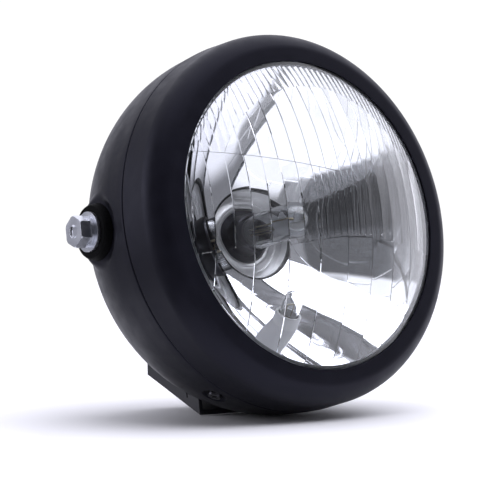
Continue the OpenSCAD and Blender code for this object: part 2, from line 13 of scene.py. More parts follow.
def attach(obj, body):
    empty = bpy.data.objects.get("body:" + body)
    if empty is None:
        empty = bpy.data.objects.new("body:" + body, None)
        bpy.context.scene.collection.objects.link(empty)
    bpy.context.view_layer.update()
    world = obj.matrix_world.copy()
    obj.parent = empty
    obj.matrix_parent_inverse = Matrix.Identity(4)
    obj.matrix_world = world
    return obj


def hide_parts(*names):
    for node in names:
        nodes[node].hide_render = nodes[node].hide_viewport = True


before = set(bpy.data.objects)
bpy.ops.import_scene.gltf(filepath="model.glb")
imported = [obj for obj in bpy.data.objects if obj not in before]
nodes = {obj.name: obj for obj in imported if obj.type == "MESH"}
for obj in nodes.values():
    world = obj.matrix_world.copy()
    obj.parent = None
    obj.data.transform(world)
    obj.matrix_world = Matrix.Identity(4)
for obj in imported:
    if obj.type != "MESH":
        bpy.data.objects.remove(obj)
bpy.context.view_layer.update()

print(len(nodes), "CAD nodes loaded")

# %% [markdown]
# Blender works in metres, while a lamp is drawn in millimetres, so one factor turns one
# into the other. Depths on the lamp are counted backwards from the rim of the glass, and
# the bolt axis lies LENS_AHEAD behind that rim, as it does in the frame.

# %% Units and places that everything shares
MM = 0.001
LENS_AHEAD = 50.5
BODY = "root"


def at(x, depth, z):
    """A point given by its place across, its depth behind the glass rim and its height, in mm."""
    return Vector((x * MM, (depth - LENS_AHEAD) * MM, z * MM))


def deselect():
    """Leaves edit mode and lets go of everything."""
    if bpy.context.object and bpy.context.object.mode != "OBJECT":
        bpy.ops.object.mode_set(mode="OBJECT")
    bpy.ops.object.select_all(action="DESELECT")


deselect()
print("glass rim at y =", round(at(0, 0, 0).y, 4))

# %% [markdown]
# The photograph was taken from the lamp's front right, nearly level with the table, with
# a long lens. The lamp leans back a little on the table, so in its own frame the camera
# sits low and is turned about its view axis. A camera matrix is built from three axes:
# right, up and back. The camera is then moved aside until the lamp is framed as pictured.

# %% Camera
VIEW_AZIMUTH = math.radians(-37.996)
VIEW_ELEVATION = math.radians(-8.841)
VIEW_ROLL = math.radians(-6.37)
VIEW_DISTANCE = 730.15
VIEW_RIGHT = 29.87
VIEW_UP = 17.11
FOCAL_LENGTH = 113.48


def camera_axes():
    """The camera's right, up and back axes in the lamp's frame."""
    flat = math.cos(VIEW_ELEVATION)
    back = Vector((
        math.sin(VIEW_AZIMUTH) * flat,
        -math.cos(VIEW_AZIMUTH) * flat,
        math.sin(VIEW_ELEVATION),
    ))
    right = Vector((math.cos(VIEW_AZIMUTH), math.sin(VIEW_AZIMUTH), 0))
    up = back.cross(right)
    c, s = math.cos(VIEW_ROLL), math.sin(VIEW_ROLL)
    return c * right + s * up, c * up - s * right, back


right, up, back = camera_axes()
camera = bpy.data.objects.new("camera", bpy.data.cameras.new("camera"))
bpy.context.scene.collection.objects.link(camera)
camera.data.sensor_width = 36
camera.data.lens = FOCAL_LENGTH
camera.data.clip_start = 0.05
camera.data.clip_end = 50
place = at(0, 0, 0) + MM * (VIEW_DISTANCE * back - VIEW_RIGHT * right - VIEW_UP * up)
camera.matrix_world = Matrix.LocRotScale(place, Matrix((right, up, back)).transposed(), None)
bpy.context.scene.camera = camera
print("camera at", [round(v, 3) for v in place])

# %% [markdown]
# The lamp rests on its belly and on the front edge of its bracket, so the table under it
# is a tilted plane in the lamp's frame. The table is white and lit until it is as bright
# as the backdrop, and only the shade under the lamp tells it apart. The wide plane is
# hidden from mirrors and glass, which see the room in its place. A disc under the lamp lies
# a hair above it and is left visible to them, so the paint mirrors the shaded table.

# %% Table
FLOOR_NORMAL = Vector((-0.007, -0.189, 0.982)).normalized()
FLOOR_TURN = FLOOR_NORMAL.to_track_quat("Z", "Y").to_euler()
FLOOR_DROP = 95.9
FLOOR_SIZE = 6.0
NEAR_RADIUS = 0.13
NEAR_LIFT = 0.00005
TABLE_ALBEDO = 0.86


def bsdf_material(name, **sockets):
    """A material with one Principled shader and the given socket values."""
    material = bpy.data.materials.new(name)
    material.use_nodes = True
    shader = material.node_tree.nodes["Principled BSDF"]
    for socket, value in sockets.items():
        shader.inputs[socket.replace("_", " ")].default_value = value
    return material


floor_point = at(0, 0, 0) - FLOOR_DROP * MM * FLOOR_NORMAL
bpy.ops.mesh.primitive_plane_add(size=FLOOR_SIZE, location=floor_point, rotation=FLOOR_TURN)
table = bpy.context.object
table.name = "table"
table.data.materials.append(bsdf_material(
    "table_white", Base_Color=(TABLE_ALBEDO, TABLE_ALBEDO, TABLE_ALBEDO, 1), Roughness=0.9,
    Specular_IOR_Level=0.1,
))
table.visible_glossy = False
table.visible_transmission = False
bpy.ops.mesh.primitive_circle_add(
    vertices=96, radius=NEAR_RADIUS, fill_type="NGON",
    location=floor_point + FLOOR_NORMAL * NEAR_LIFT, rotation=FLOOR_TURN,
)
near_table = bpy.context.object
near_table.name = "table_under_lamp"
near_table.data.materials.append(table.data.materials[0])
deselect()
print("table through", [round(v, 4) for v in floor_point])

# %% [markdown]
# A chrome-bright reflector is a picture of the room around it. A product studio is white
# above, behind and below, and darker where the photographer stands. Here the room is the
# world's own shader: the direction of a ray is turned into an elevation and an azimuth
# over the table, and soft-edged cards of grey are laid over a white dome, each by a range
# of both angles. Azimuth 0 is where the lamp points, and it grows towards +X. The white is
# a cool one, because the shades in the photograph are slightly blue.

# %% The room that the reflector mirrors
AHEAD = (Vector((0, -1, 0)) - FLOOR_NORMAL * FLOOR_NORMAL.dot(Vector((0, -1, 0)))).normalized()
ASIDE = FLOOR_NORMAL.cross(AHEAD)
ROOM_WHITE = 1.35
BACKDROP = 1.05
COOL_WHITE = (0.90, 0.90, 1.0, 1)
# name: (azimuth from, to, elevation from, to, soft edge, brightness)
CARDS = {
    "grey side wall": (-175, -90, -25, 50, 10, 0.30),
    "glow over the floor": (-92, -42, -52, 0, 8, 0.55),
    "dim front of the room": (-92, 4, -24, 54, 3, 0.28),
    "dim front beside it": (-2, 70, -14, 54, 6, 0.28),
    "dark curtain": (-124, -74, -60, 60, 9, 0.015),
    "grey ceiling": (-40, 16, 56, 66, 4, 0.6),
    "dark camera side": (-62, -16, -25, 55, 2, 0.06),
    "bright box ahead": (22, 60, 38, 66, 4, 1.0),
    "dark doorway": (14, 50, 6, 28, 4, 0.03),
}


def math_node(tree, operation, *values):
    """A Math node whose inputs are numbers or other nodes' sockets."""
    node = tree.nodes.new("ShaderNodeMath")
    node.operation = operation
    for i, value in enumerate(values):
        if isinstance(value, (int, float)):
            node.inputs[i].default_value = value
        else:
            tree.links.new(value, node.inputs[i])
    return node.outputs[0]


def soft_step(tree, value, edge, soft):
    """Rises smoothly from 0 to 1 as value passes edge."""
    node = tree.nodes.new("ShaderNodeMapRange")
    node.interpolation_type = "SMOOTHSTEP"
    tree.links.new(value, node.inputs["Value"])
    node.inputs["From Min"].default_value = edge - soft
    node.inputs["From Max"].default_value = edge + soft
    return node.outputs["Result"]


def along(tree, direction, axis):
    """How far a direction points along an axis."""
    node = tree.nodes.new("ShaderNodeVectorMath")
    node.operation = "DOT_PRODUCT"
    tree.links.new(direction, node.inputs[0])
    node.inputs[1].default_value = axis
    return node.outputs["Value"]


def room_world():
    """The world: plain white for the camera, and the studio's cards for every other ray."""
    world = bpy.data.worlds.new("studio")
    world.use_nodes = True
    tree = world.node_tree
    tree.nodes.clear()
    direction = tree.nodes.new("ShaderNodeTexCoord").outputs["Generated"]
    elevation = math_node(tree, "DEGREES", math_node(tree, "ARCSINE", along(tree, direction, FLOOR_NORMAL)))
    azimuth = math_node(tree, "DEGREES", math_node(
        tree, "ARCTAN2", along(tree, direction, ASIDE), along(tree, direction, AHEAD)))
    light = ROOM_WHITE
    for left_edge, right_edge, low_edge, high_edge, soft, level in CARDS.values():
        past_left = soft_step(tree, azimuth, left_edge, soft)
        inside = math_node(tree, "MULTIPLY", past_left, soft_step(tree, elevation, low_edge, soft))
        for value, edge in ((azimuth, right_edge), (elevation, high_edge)):
            beyond = math_node(tree, "SUBTRACT", 1.0, soft_step(tree, value, edge, soft))
            inside = math_node(tree, "MULTIPLY", inside, beyond)
        mix = tree.nodes.new("ShaderNodeMix")
        tree.links.new(inside, mix.inputs["Factor"])
        if isinstance(light, float):
            mix.inputs["A"].default_value = light
        else:
            tree.links.new(light, mix.inputs["A"])
        mix.inputs["B"].default_value = level
        light = mix.outputs["Result"]
    room = tree.nodes.new("ShaderNodeBackground")
    room.inputs["Color"].default_value = COOL_WHITE
    tree.links.new(light, room.inputs["Strength"])
    backdrop = tree.nodes.new("ShaderNodeBackground")
    backdrop.inputs["Color"].default_value = (1, 1, 1, 1)
    backdrop.inputs["Strength"].default_value = BACKDROP
    choice = tree.nodes.new("ShaderNodeMixShader")
    tree.links.new(tree.nodes.new("ShaderNodeLightPath").outputs["Is Camera Ray"], choice.inputs[0])
    tree.links.new(room.outputs[0], choice.inputs[1])
    tree.links.new(backdrop.outputs[0], choice.inputs[2])
    out = tree.nodes.new("ShaderNodeOutputWorld")
    tree.links.new(choice.outputs[0], out.inputs[0])
    return world


bpy.context.scene.world = room_world()
bpy.context.scene.view_settings.view_transform = "Standard"
print(len(CARDS), "cards in the room")

# %% [markdown]
# The brightest things in a studio are its lights. A sun with a wide angle stands for a
# bright ceiling: it whitens the table and gives the lamp a soft shadow, and it is hidden
# from mirrors, which see the room's cards instead. An area light stands for a tall soft
# box on the left that draws a light edge down the side of the bucket.

# %% Ceiling and soft box
# name: (azimuth, elevation, distance, width, height, watts)
SOFT_BOXES = {
    "back_left": (-118, 14, 1.2, 0.5, 1.0, 5),
}


def towards(azimuth, elevation):
    """A direction from the lamp into the room, by its angles over the table."""
    a, e = math.radians(azimuth), math.radians(elevation)
    level = AHEAD * math.cos(a) + ASIDE * math.sin(a)
    return FLOOR_NORMAL * math.sin(e) + level * math.cos(e)


def soft_box(name, azimuth, elevation, distance, width, height, watts):
    """An area light that looks at the lamp from that direction."""
    direction = towards(azimuth, elevation)
    lamp = bpy.data.lights.new(name, "AREA")
    lamp.shape = "RECTANGLE"
    lamp.size, lamp.size_y, lamp.energy = width, height, watts
    lamp.color = COOL_WHITE[:3]
    holder = bpy.data.objects.new(name, lamp)
    holder.location = direction * distance
    holder.rotation_euler = direction.to_track_quat("Z", "Y").to_euler()
    bpy.context.scene.collection.objects.link(holder)
    return holder


CEILING_ANGLE = math.radians(70)
CEILING_STRENGTH = 2.6
CEILING_FROM = (52, 67)
ceiling_light = bpy.data.lights.new("ceiling", "SUN")
ceiling_light.angle = CEILING_ANGLE
ceiling_light.energy = CEILING_STRENGTH
ceiling_light.color = COOL_WHITE[:3]
ceiling = bpy.data.objects.new("ceiling", ceiling_light)
ceiling.rotation_euler = towards(*CEILING_FROM).to_track_quat("Z", "Y").to_euler()
ceiling.visible_glossy = False
bpy.context.scene.collection.objects.link(ceiling)
for box_name, box in SOFT_BOXES.items():
    soft_box(box_name, *box)
print("a ceiling and", len(SOFT_BOXES), "soft box")

# %% [markdown]
# Powder coat on a headlight is a matt black with a soft sheen. Up close it has a fine
# orange-peel grain, and its gloss wanders a little. A noise drives the bump, another
# moves the roughness and the colour, and a Bevel node rounds the pressed edges in shade.

# %% Powder coat
CLOUD_SCALE = 0.06
GLOSS_DRIFT = 0.12
BEVEL_SAMPLES = 6


def noise(tree, scale, detail=3.0, rough=0.5):
    """A noise on Object coordinates, so that it stays on the piece."""
    place = tree.nodes.new("ShaderNodeTexCoord").outputs["Object"]
    node = tree.nodes.new("ShaderNodeTexNoise")
    tree.links.new(place, node.inputs["Vector"])
    node.inputs["Scale"].default_value = scale
    node.inputs["Detail"].default_value = detail
    node.inputs["Roughness"].default_value = rough
    return node.outputs["Fac"]


def ramp(tree, value, low, high, start=0.3, end=0.7):
    """Turns a noise into a number between low and high."""
    node = tree.nodes.new("ShaderNodeMapRange")
    tree.links.new(value, node.inputs["Value"])
    node.inputs["From Min"].default_value = start
    node.inputs["From Max"].default_value = end
    node.inputs["To Min"].default_value = low
    node.inputs["To Max"].default_value = high
    return node.outputs["Result"]


def blend_colours(tree, value, dark, light):
    """A colour between two, by a noise."""
    node = tree.nodes.new("ShaderNodeMix")
    node.data_type = "RGBA"
    tree.links.new(ramp(tree, value, 0, 1), node.inputs["Factor"])
    node.inputs[6].default_value = (*dark, 1)
    node.inputs[7].default_value = (*light, 1)
    return node.outputs[2]


def bumped(tree, value, strength, depth, edge=0.0):
    """Bump from a noise, laid over rounded edges where edge is a radius in mm."""
    node = tree.nodes.new("ShaderNodeBump")
    tree.links.new(value, node.inputs["Height"])
    node.inputs["Strength"].default_value = strength
    node.inputs["Distance"].default_value = depth * MM
    if edge:
        soft = tree.nodes.new("ShaderNodeBevel")
        soft.samples = BEVEL_SAMPLES
        soft.inputs["Radius"].default_value = edge * MM
        tree.links.new(soft.outputs[0], node.inputs["Normal"])
    return node.outputs["Normal"]


def finish(name, dark, light, rough, grain, strength, depth=0.05, edge=0.0, metallic=0.0, **more):
    """A surface with a mottled colour, a wandering gloss and a fine grain."""
    material = bsdf_material(name, Metallic=metallic, **more)
    tree = material.node_tree
    shader = tree.nodes["Principled BSDF"]
    cloud = noise(tree, grain * CLOUD_SCALE, 4)
    tree.links.new(blend_colours(tree, cloud, dark, light), shader.inputs["Base Color"])
    gloss = ramp(tree, cloud, rough * (1 - GLOSS_DRIFT), rough * (1 + GLOSS_DRIFT))
    tree.links.new(gloss, shader.inputs["Roughness"])
    tree.links.new(bumped(tree, noise(tree, grain), strength, depth, edge), shader.inputs["Normal"])
    return material


PAINT_DARK = (0.0040, 0.0040, 0.0066)
PAINT_LIGHT = (0.0054, 0.0054, 0.0088)
PAINT_SHEEN = (0.74, 0.74, 1.0, 1)
paint = finish(
    "powder_coat", PAINT_DARK, PAINT_LIGHT, 0.46, 2600, 0.10, 0.03, 0.5,
    Specular_IOR_Level=0.26, Specular_Tint=PAINT_SHEEN)
print("made", paint.name)

# %% [markdown]
# The other finishes follow the same recipe with their own colours: bright zinc with a
# cold tint on the bolts, brushed tinplate on the bulb, brass on its blades, rubber,
# spring steel, black oxide and drawn tungsten. The bracket's black is lightened by a painted
# reflection of the white table that its side faces.

# %% Metals and rubber
# dark and light colour, roughness, grain, strength and depth of the bump, edge radius, metallic
zinc = finish("bright_zinc", (0.62, 0.64, 0.70), (0.80, 0.82, 0.88), 0.30, 1800, 0.10, 0.02, 0.25, 1.0)
tinplate = finish("bulb_tinplate", (0.80, 0.80, 0.81), (0.92, 0.92, 0.93), 0.42, 1400, 0.12, 0.02, 0.2, 1.0)
brass = finish("blade_brass", (0.55, 0.45, 0.24), (0.70, 0.59, 0.34), 0.28, 1500, 0.10, 0.02, 0.15, 1.0)
spring_steel = finish(
    "spring_steel", (0.36, 0.36, 0.37), (0.50, 0.50, 0.51), 0.33, 1500, 0.10, 0.02, 0.1, 1.0)
black_oxide = finish(
    "black_oxide", (0.05, 0.05, 0.06), (0.09, 0.09, 0.10), 0.35, 1500, 0.12, 0.02, 0.15, 1.0)
tungsten = finish("tungsten", (0.34, 0.29, 0.20), (0.50, 0.44, 0.32), 0.35, 3000, 0.20, 0.02, 0.0, 1.0)
rubber = finish(
    "rubber", (0.0015, 0.0015, 0.0018), (0.003, 0.003, 0.0035), 0.7, 1200, 0.15, 0.04, 0.4,
    Specular_IOR_Level=0.08)
# Painted reflection: the bracket's black is lighter than the bucket's, standing in for the white table
# mirrored in its side.
bracket_black_with_painted_reflection = finish(
    "bracket_black_with_painted_reflection", (0.030, 0.030, 0.036), (0.042, 0.042, 0.050), 0.40, 2200, 0.12, 0.03, 0.4)
collar_plastic = finish(
    "collar_plastic", (0.84, 0.85, 0.87), (0.92, 0.93, 0.95), 0.35, 900, 0.05, 0.02, 0.3)
print("nine more finishes")

# %% [markdown]
# Pressed glass is clear with a breath of blue-green, and bends light by an index of 1.5.
# Its ground edge lets little light through and looks pale. The vacuum coating on the
# reflector is nearly a perfect mirror, with a slight ripple that keeps its images from
# looking drawn.

# %% Glass and mirror
def rippled(material, scale, strength, depth):
    """Gives a smooth surface the slight waves that pressing or blowing leaves."""
    tree = material.node_tree
    waves = bumped(tree, noise(tree, scale, 2), strength, depth)
    tree.links.new(waves, tree.nodes["Principled BSDF"].inputs["Normal"])


lens_glass = bsdf_material(
    "lens_glass", Base_Color=(0.975, 0.99, 0.99, 1), Roughness=0.0, IOR=1.5, Transmission_Weight=1.0)
rippled(lens_glass, scale=60, strength=0.02, depth=0.2)
ground_glass = finish(
    "ground_glass_edge", (0.62, 0.66, 0.70), (0.74, 0.78, 0.82), 0.55, 1500, 0.1,
    IOR=1.5, Transmission_Weight=0.35)
bulb_glass = bsdf_material(
    "bulb_glass", Base_Color=(0.97, 0.985, 1.0, 1), Roughness=0.0, IOR=1.52, Transmission_Weight=1.0)
rippled(bulb_glass, scale=220, strength=0.05, depth=0.2)
mirror = bsdf_material(
    "mirror_coat", Base_Color=(0.93, 0.93, 0.95, 1), Metallic=1.0, Roughness=0.03)
rippled(mirror, scale=90, strength=0.03, depth=0.3)
print("glass and mirror ready")

# %% [markdown]
# Each CAD node takes its finish by name. A node that a better mesh replaces later keeps
# its finish too, so that a look at the bare frame still reads.

# %% Finish the CAD nodes
FINISHES = {
    "bucket": paint, "rim_ring": paint, "lens": lens_glass, "lens_seal": rubber, "reflector": mirror,
    "lens_clips": spring_steel, "headlamp_bulb_glass": bulb_glass, "headlamp_bulb_filaments": tungsten,
    "headlamp_bulb_shield": tinplate, "headlamp_bulb_base": tinplate, "headlamp_bulb_blades": brass,
    "bulb_spring_clip": spring_steel, "bulb_dust_boot": rubber, "parking_bulb_glass": bulb_glass,
    "parking_bulb_filament": tungsten, "parking_bulb_base": brass, "parking_lamp_holder": collar_plastic,
    "bottom_bracket": bracket_black_with_painted_reflection, "cable_grommet": rubber,
}
for side in ("left", "right"):
    FINISHES.update({
        f"{side}_spacer": rubber, f"{side}_washer": zinc, f"{side}_spring_washer": zinc,
        f"{side}_bolt": zinc, f"{side}_weld_nut": spring_steel,
        f"{side}_rim_screw": black_oxide, f"{side}_rim_tab": spring_steel,
    })
for name, node in nodes.items():
    node.data.materials.clear()
    node.data.materials.append(FINISHES[name])
print(len(nodes), "nodes finished")

# %% [markdown]
# Most of the lamp is turned about its optical axis, so its better meshes are spun too.
# A plane is merged to one point, the point is extruded along the half section, and the
# section is spun all the way round. Doubles at the seam and on the axis are merged, and
# the normals are worked out again because a spin can turn a shape inside out.

# %% A lathe
TOUCH = 0.002 * MM


def lathe(name, section, material, steps, smooth=30):
    """Spins a half section of (radius, depth) points about the optical axis."""
    deselect()
    start = at(section[0][0], section[0][1], 0)
    bpy.ops.mesh.primitive_plane_add(size=MM, location=start)
    piece = bpy.context.object
    piece.name = piece.data.name = name
    bpy.ops.object.mode_set(mode="EDIT")
    bpy.ops.mesh.select_all(action="SELECT")
    bpy.ops.mesh.merge(type="CENTER")
    for (r0, d0), (r1, d1) in zip(section, section[1:]):
        bpy.ops.mesh.extrude_vertices_move(
            TRANSFORM_OT_translate={"value": ((r1 - r0) * MM, (d1 - d0) * MM, 0)})
    bpy.ops.mesh.select_all(action="SELECT")
    bpy.ops.mesh.remove_doubles(threshold=TOUCH)
    bpy.ops.mesh.select_all(action="SELECT")
    bpy.ops.mesh.spin(steps=steps, angle=math.tau, center=(0, 0, 0), axis=(0, 1, 0))
    bpy.ops.mesh.select_all(action="SELECT")
    bpy.ops.mesh.remove_doubles(threshold=TOUCH)
    bpy.ops.mesh.normals_make_consistent(inside=False)
    bpy.ops.object.mode_set(mode="OBJECT")
    bpy.ops.object.transform_apply(location=True, rotation=True, scale=True)
    bpy.ops.object.shade_smooth_by_angle(angle=math.radians(smooth))
    piece.data.materials.append(material)
    deselect()
    return piece


def arc(centre_r, centre_d, radius, start, end, count):
    """Points of an arc in the half section; an angle of 0 points outwards and 90 backwards."""
    turn = [math.radians(start + (end - start) * i / count) for i in range(count + 1)]
    return [(centre_r + radius * math.cos(a), centre_d + radius * math.sin(a)) for a in turn]


def ring_place(face):
    """A face's distance from the optical axis and its depth, in mm."""
    return math.hypot(face.center.x, face.center.z) / MM, face.center.y / MM + LENS_AHEAD


print("lathe ready")

# %% [markdown]
# The reflector is a paraboloid of bright sheet: a mirror shows every flat spot, so it is
# spun from a fine section. Its bright face, the neck round the bulb and the seat are one
# line, and a second line behind them gives the sheet its thickness.

# %% Reflector
FOCAL = 26.0
MOUTH_R = 70.0
FLANGE_BACK = 5.0
FOCUS_TO_SEAT = 29.0
VERTEX_D = FLANGE_BACK + MOUTH_R ** 2 / (4 * FOCAL)
SEAT_D = VERTEX_D - FOCAL + FOCUS_TO_SEAT
BULB_HOLE_R = 22.0
SEAT_HOLE_R = 19.0
SHEET = 1.0
FLANGE_R = 79.0
WALL_POINTS = 90


def wall(r, behind):
    """A point of the paraboloid, that far behind its bright face."""
    slope = r / (2 * FOCAL)
    length = math.hypot(1, slope)
    return r + behind * slope / length, VERTEX_D - r * r / (4 * FOCAL) + behind / length


radii = [BULB_HOLE_R + (MOUTH_R - BULB_HOLE_R) * i / WALL_POINTS for i in range(WALL_POINTS + 1)]
bright_face = [wall(r, 0) for r in radii]
back_face = [wall(r, SHEET) for r in radii]
hole_depth = bright_face[0][1]
reflector_section = [
    (SEAT_HOLE_R, SEAT_D), (SEAT_HOLE_R, SEAT_D - SHEET), (BULB_HOLE_R, SEAT_D - SHEET),
    *[(BULB_HOLE_R, SEAT_D - SHEET - i) for i in range(1, int(SEAT_D - SHEET - hole_depth))],
    *bright_face,
    (FLANGE_R, FLANGE_BACK), (FLANGE_R, FLANGE_BACK + SHEET),
    *reversed(back_face),
    (BULB_HOLE_R + SHEET, SEAT_D), (SEAT_HOLE_R, SEAT_D),
]
reflector = lathe("bright_reflector", reflector_section, mirror, steps=256, smooth=25)
print("reflector", len(reflector.data.polygons), "faces")

# %% [markdown]
# The parking bulb comes through a hole in the reflector. A cylinder is added where the
# bulb's axis is, and a Boolean modifier takes it out of the sheet.

# %% Hole for the parking bulb
PARK_R = 46.6
PARK_HOLE_R = 6.3
PARK_CUT = 30.0
HOLE_SIDES = 64
PARK_LEAN = 8.0
park_tilt = math.radians(90 - math.degrees(math.atan(PARK_R / (2 * FOCAL))) - PARK_LEAN)
park_axis = Vector((0, -math.sin(park_tilt), math.cos(park_tilt)))
park_place = at(0, wall(PARK_R, 0)[1], -PARK_R)


def cut(piece, cutter):
    """Takes one mesh out of another and throws the cutter away."""
    deselect()
    bpy.context.view_layer.objects.active = piece
    piece.select_set(True)
    modifier = piece.modifiers.new("cut", "BOOLEAN")
    modifier.operation = "DIFFERENCE"
    modifier.solver = "EXACT"
    modifier.object = cutter
    bpy.ops.object.modifier_apply(modifier="cut")
    bpy.data.objects.remove(cutter)
    deselect()


bpy.ops.mesh.primitive_cylinder_add(
    vertices=HOLE_SIDES, radius=PARK_HOLE_R * MM, depth=PARK_CUT * MM, location=park_place,
    rotation=park_axis.to_track_quat("Z", "X").to_euler())
cut(reflector, bpy.context.object)
print("reflector cut,", len(reflector.data.polygons), "faces")

# %% [markdown]
# The neck behind the dish isn't coated. Its rolled lip takes a near-black finish, which is
# painted shade: it draws the dark ring of the gap round the hole, and the rest is dull plate.
# A mesh can hold several materials, and each of its faces says by a number which one it takes.

# %% Lip and neck of the reflector
LIP_D = hole_depth + 2.1
# Near-black painted shade on the lip and the hole's edge, for the dark gap round the bulb hole.
lip_painted_shade = finish("reflector_lip_painted_shade", (0.006, 0.006, 0.007), (0.012, 0.012, 0.013), 0.3, 1200, 0.05)
reflector.data.materials.append(lip_painted_shade)
reflector.data.materials.append(tinplate)
for face in reflector.data.polygons:
    around, depth = ring_place(face)
    if around < BULB_HOLE_R + SHEET * 0.2:
        face.material_index = 1 if depth < LIP_D else 2
    elif around < BULB_HOLE_R + SHEET and depth < hole_depth + SHEET / 3:
        face.material_index = 1
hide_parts("reflector")
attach(reflector, BODY)
print(len(reflector.data.materials), "materials on the reflector")

# %% [markdown]
# Both bulbs are blown glass with a round nose. A thin wall matters in a render, because
# light bends going in and out of it, so the outside and the inside are spun as one closed
# section. The parking bulb is spun about its own leaning axis: the same lathe makes it on
# the lamp's axis, and its vertices are then turned and moved to the holder.

# %% Bulb glasses
BULB_R = 8.5
BULB_WALL = 1.3
BULB_TIP_D = SEAT_D - 47.0
BULB_ROOT_D = SEAT_D - 5.2
PARK_GLASS_R = 4.75
PARK_GLASS_WALL = 0.9
PARK_GLASS_LEN = 17.5
PARK_ROOT = -2.0
NOSE_POINTS = 20


def bulb_section(radius, wall, tip, root):
    """Half section of a round-nosed glass from its tip back to its root."""
    outside = arc(0, tip + radius, radius, start=-90, end=0, count=NOSE_POINTS)
    inside = arc(0, tip + radius, radius - wall, start=0, end=-90, count=NOSE_POINTS)
    return [*outside, (radius, root), (radius - wall, root), *inside]


def lean_to_parking(piece):
    """Turns a piece made about the optical axis, from depth 0, to the parking bulb's axis."""
    turn = Vector((0, -1, 0)).rotation_difference(park_axis)
    for vertex in piece.data.vertices:
        vertex.co = park_place + turn @ (vertex.co - at(0, 0, 0))


headlamp_section = bulb_section(BULB_R, BULB_WALL, BULB_TIP_D, BULB_ROOT_D)
bulb = lathe("bulb_glass_blown", headlamp_section, bulb_glass, steps=64)
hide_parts("headlamp_bulb_glass")
parking_section = bulb_section(PARK_GLASS_R, PARK_GLASS_WALL, -PARK_GLASS_LEN, PARK_ROOT)
parking_bulb = lathe("parking_glass_blown", parking_section, bulb_glass, steps=64)
lean_to_parking(parking_bulb)
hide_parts("parking_bulb_glass")
for piece in (bulb, parking_bulb):
    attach(piece, BODY)
print("two bulb glasses")

# %% [markdown]
# The bulb's base is what shows through the reflector's hole. A cup holds the glass, rings
# are stamped into the flange round it, and a stepped barrel stands behind. All three are
# one half section, and its depths are given from the seat that the flange lies on. Inside
# WELL_R the front takes a dark finish, because the cup of the real one looks dark.

# %% Bulb base
CUP_R = BULB_R + 1.3
WELL_R = 13.0
FLANGE_PLATE_R = 21.3
BARREL_R = 17.5
BARREL_END_R = 12.5
BARREL_LEN = 10.0
PLATE_T = 1.2
CHAMFER = 0.6
# (radius, distance behind the seat)
cup = [
    (0, -5), (BULB_R + 0.1, -5), (BULB_R + 0.1, -8.6), (BULB_R + 0.3, -9), (BULB_R + 1, -9),
    (CUP_R, -8.6), (CUP_R, -1.2), (CUP_R + 0.5, -0.2),
]
stamped_rings = [(13.2, 0), (13.8, -0.9), (15, -1.1), (15.6, -0.5), (16.4, -0.1), (18.7, 0)]
flange = [(FLANGE_PLATE_R - 0.3, 0), (FLANGE_PLATE_R, 0.3), (FLANGE_PLATE_R, PLATE_T)]
step_at = PLATE_T + BARREL_LEN / 2
end_at = PLATE_T + BARREL_LEN
barrel = [
    (BARREL_R, PLATE_T), (BARREL_R, step_at - CHAMFER), (BARREL_R - CHAMFER, step_at),
    (BARREL_END_R, step_at), (BARREL_END_R, end_at - CHAMFER), (BARREL_END_R - CHAMFER, end_at), (0, end_at),
]
base_section = [(radius, SEAT_D + behind) for radius, behind in cup + stamped_rings + flange + barrel]
base = lathe("bulb_base_turned", base_section, tinplate, steps=96, smooth=35)
base.data.materials.append(black_oxide)
for face in base.data.polygons:
    around, depth = ring_place(face)
    if around < WELL_R and depth < SEAT_D:
        face.material_index = 1
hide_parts("headlamp_bulb_base")
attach(base, BODY)
print("bulb base", len(base.data.polygons), "faces")

# %% [markdown]
# The glass is pressed in a mould: its front is a plain dome, and its back carries upright
# flutes that spread the beam. There are four fields with their own pitch, parted by two
# shallow V lines and an arc, and little steps part the fields. A flute is a low round
# ridge, and where two meet the mould leaves a fine raised line, which is what the eye
# sees. A bump map can't bend light like that, so the flutes are real geometry. All edges
# lie on a sixtieth of the widest pitch, and that sets the spacing of the columns below.

# %% Numbers of the glass
LENS_R = 72.6
DOME_H = 24.4
GLASS_WALL = 3.4
LENS_FLANGE_D = 2.0
PITCH = 15.15
FIELD_STEP = 0.3
CRESCENT_R = 57.8
DOME_R = (LENS_R ** 2 + DOME_H ** 2) / (2 * DOME_H)
DOME_D = DOME_R - DOME_H
UPPER_V, UPPER_SLOPE = 14.6, 0.189
LOWER_V, LOWER_SLOPE = -13.9, -0.081


def even_edges(pitch):
    """Places of flute edges at an even pitch across the lens."""
    count = math.ceil(LENS_R / pitch)
    return [i * pitch for i in range(-count, count + 1)]


# half pitches on both sides, and quarter pitches between them
middle_edges = (
    [i * PITCH / 2 for i in range(-10, -1)]
    + [i * PITCH / 4 for i in range(-3, 4)]
    + [i * PITCH / 2 for i in range(2, 11)]
)
# bottom to top: flute edges, height as a share of the width, steps behind the first field
FIELDS = {
    "lower": (even_edges(PITCH), 0.002, 0),
    "middle": (middle_edges, 0.012, 1),
    "upper": (even_edges(PITCH / 2), 0.009, 3),
    "crescent": (even_edges(PITCH / 5), 0.03, 2),
}
COLUMN_W = PITCH / 60
CUSP_H = 0.12


def flute_reach(x, edges, rise, step):
    """Distance of the glass's back from the dome's cross axis, at one place across."""
    reach = math.sqrt((DOME_R - GLASS_WALL - step * FIELD_STEP) ** 2 - x * x)
    for left, right in zip(edges, edges[1:]):
        if left <= x <= right:
            share = (2 * x - left - right) / (right - left)
            to_edge = min(x - left, right - x)
            cusp = CUSP_H * max(1 - to_edge / COLUMN_W, 0)
            return reach - rise * (right - left) * (1 - share * share) - cusp
    return reach


print("dome radius", round(DOME_R, 1), "mm,", len(FIELDS), "fields of flutes")

# %% [markdown]
# The back of the glass starts as a grid whose columns run up the lamp and whose rows are
# shared out among the fields. Each vertex is then moved to its place: the columns to the
# flutes, the rows between the field's edges, all inside the round mouth. Rows that meet
# at an edge are doubled, and that makes the little step.

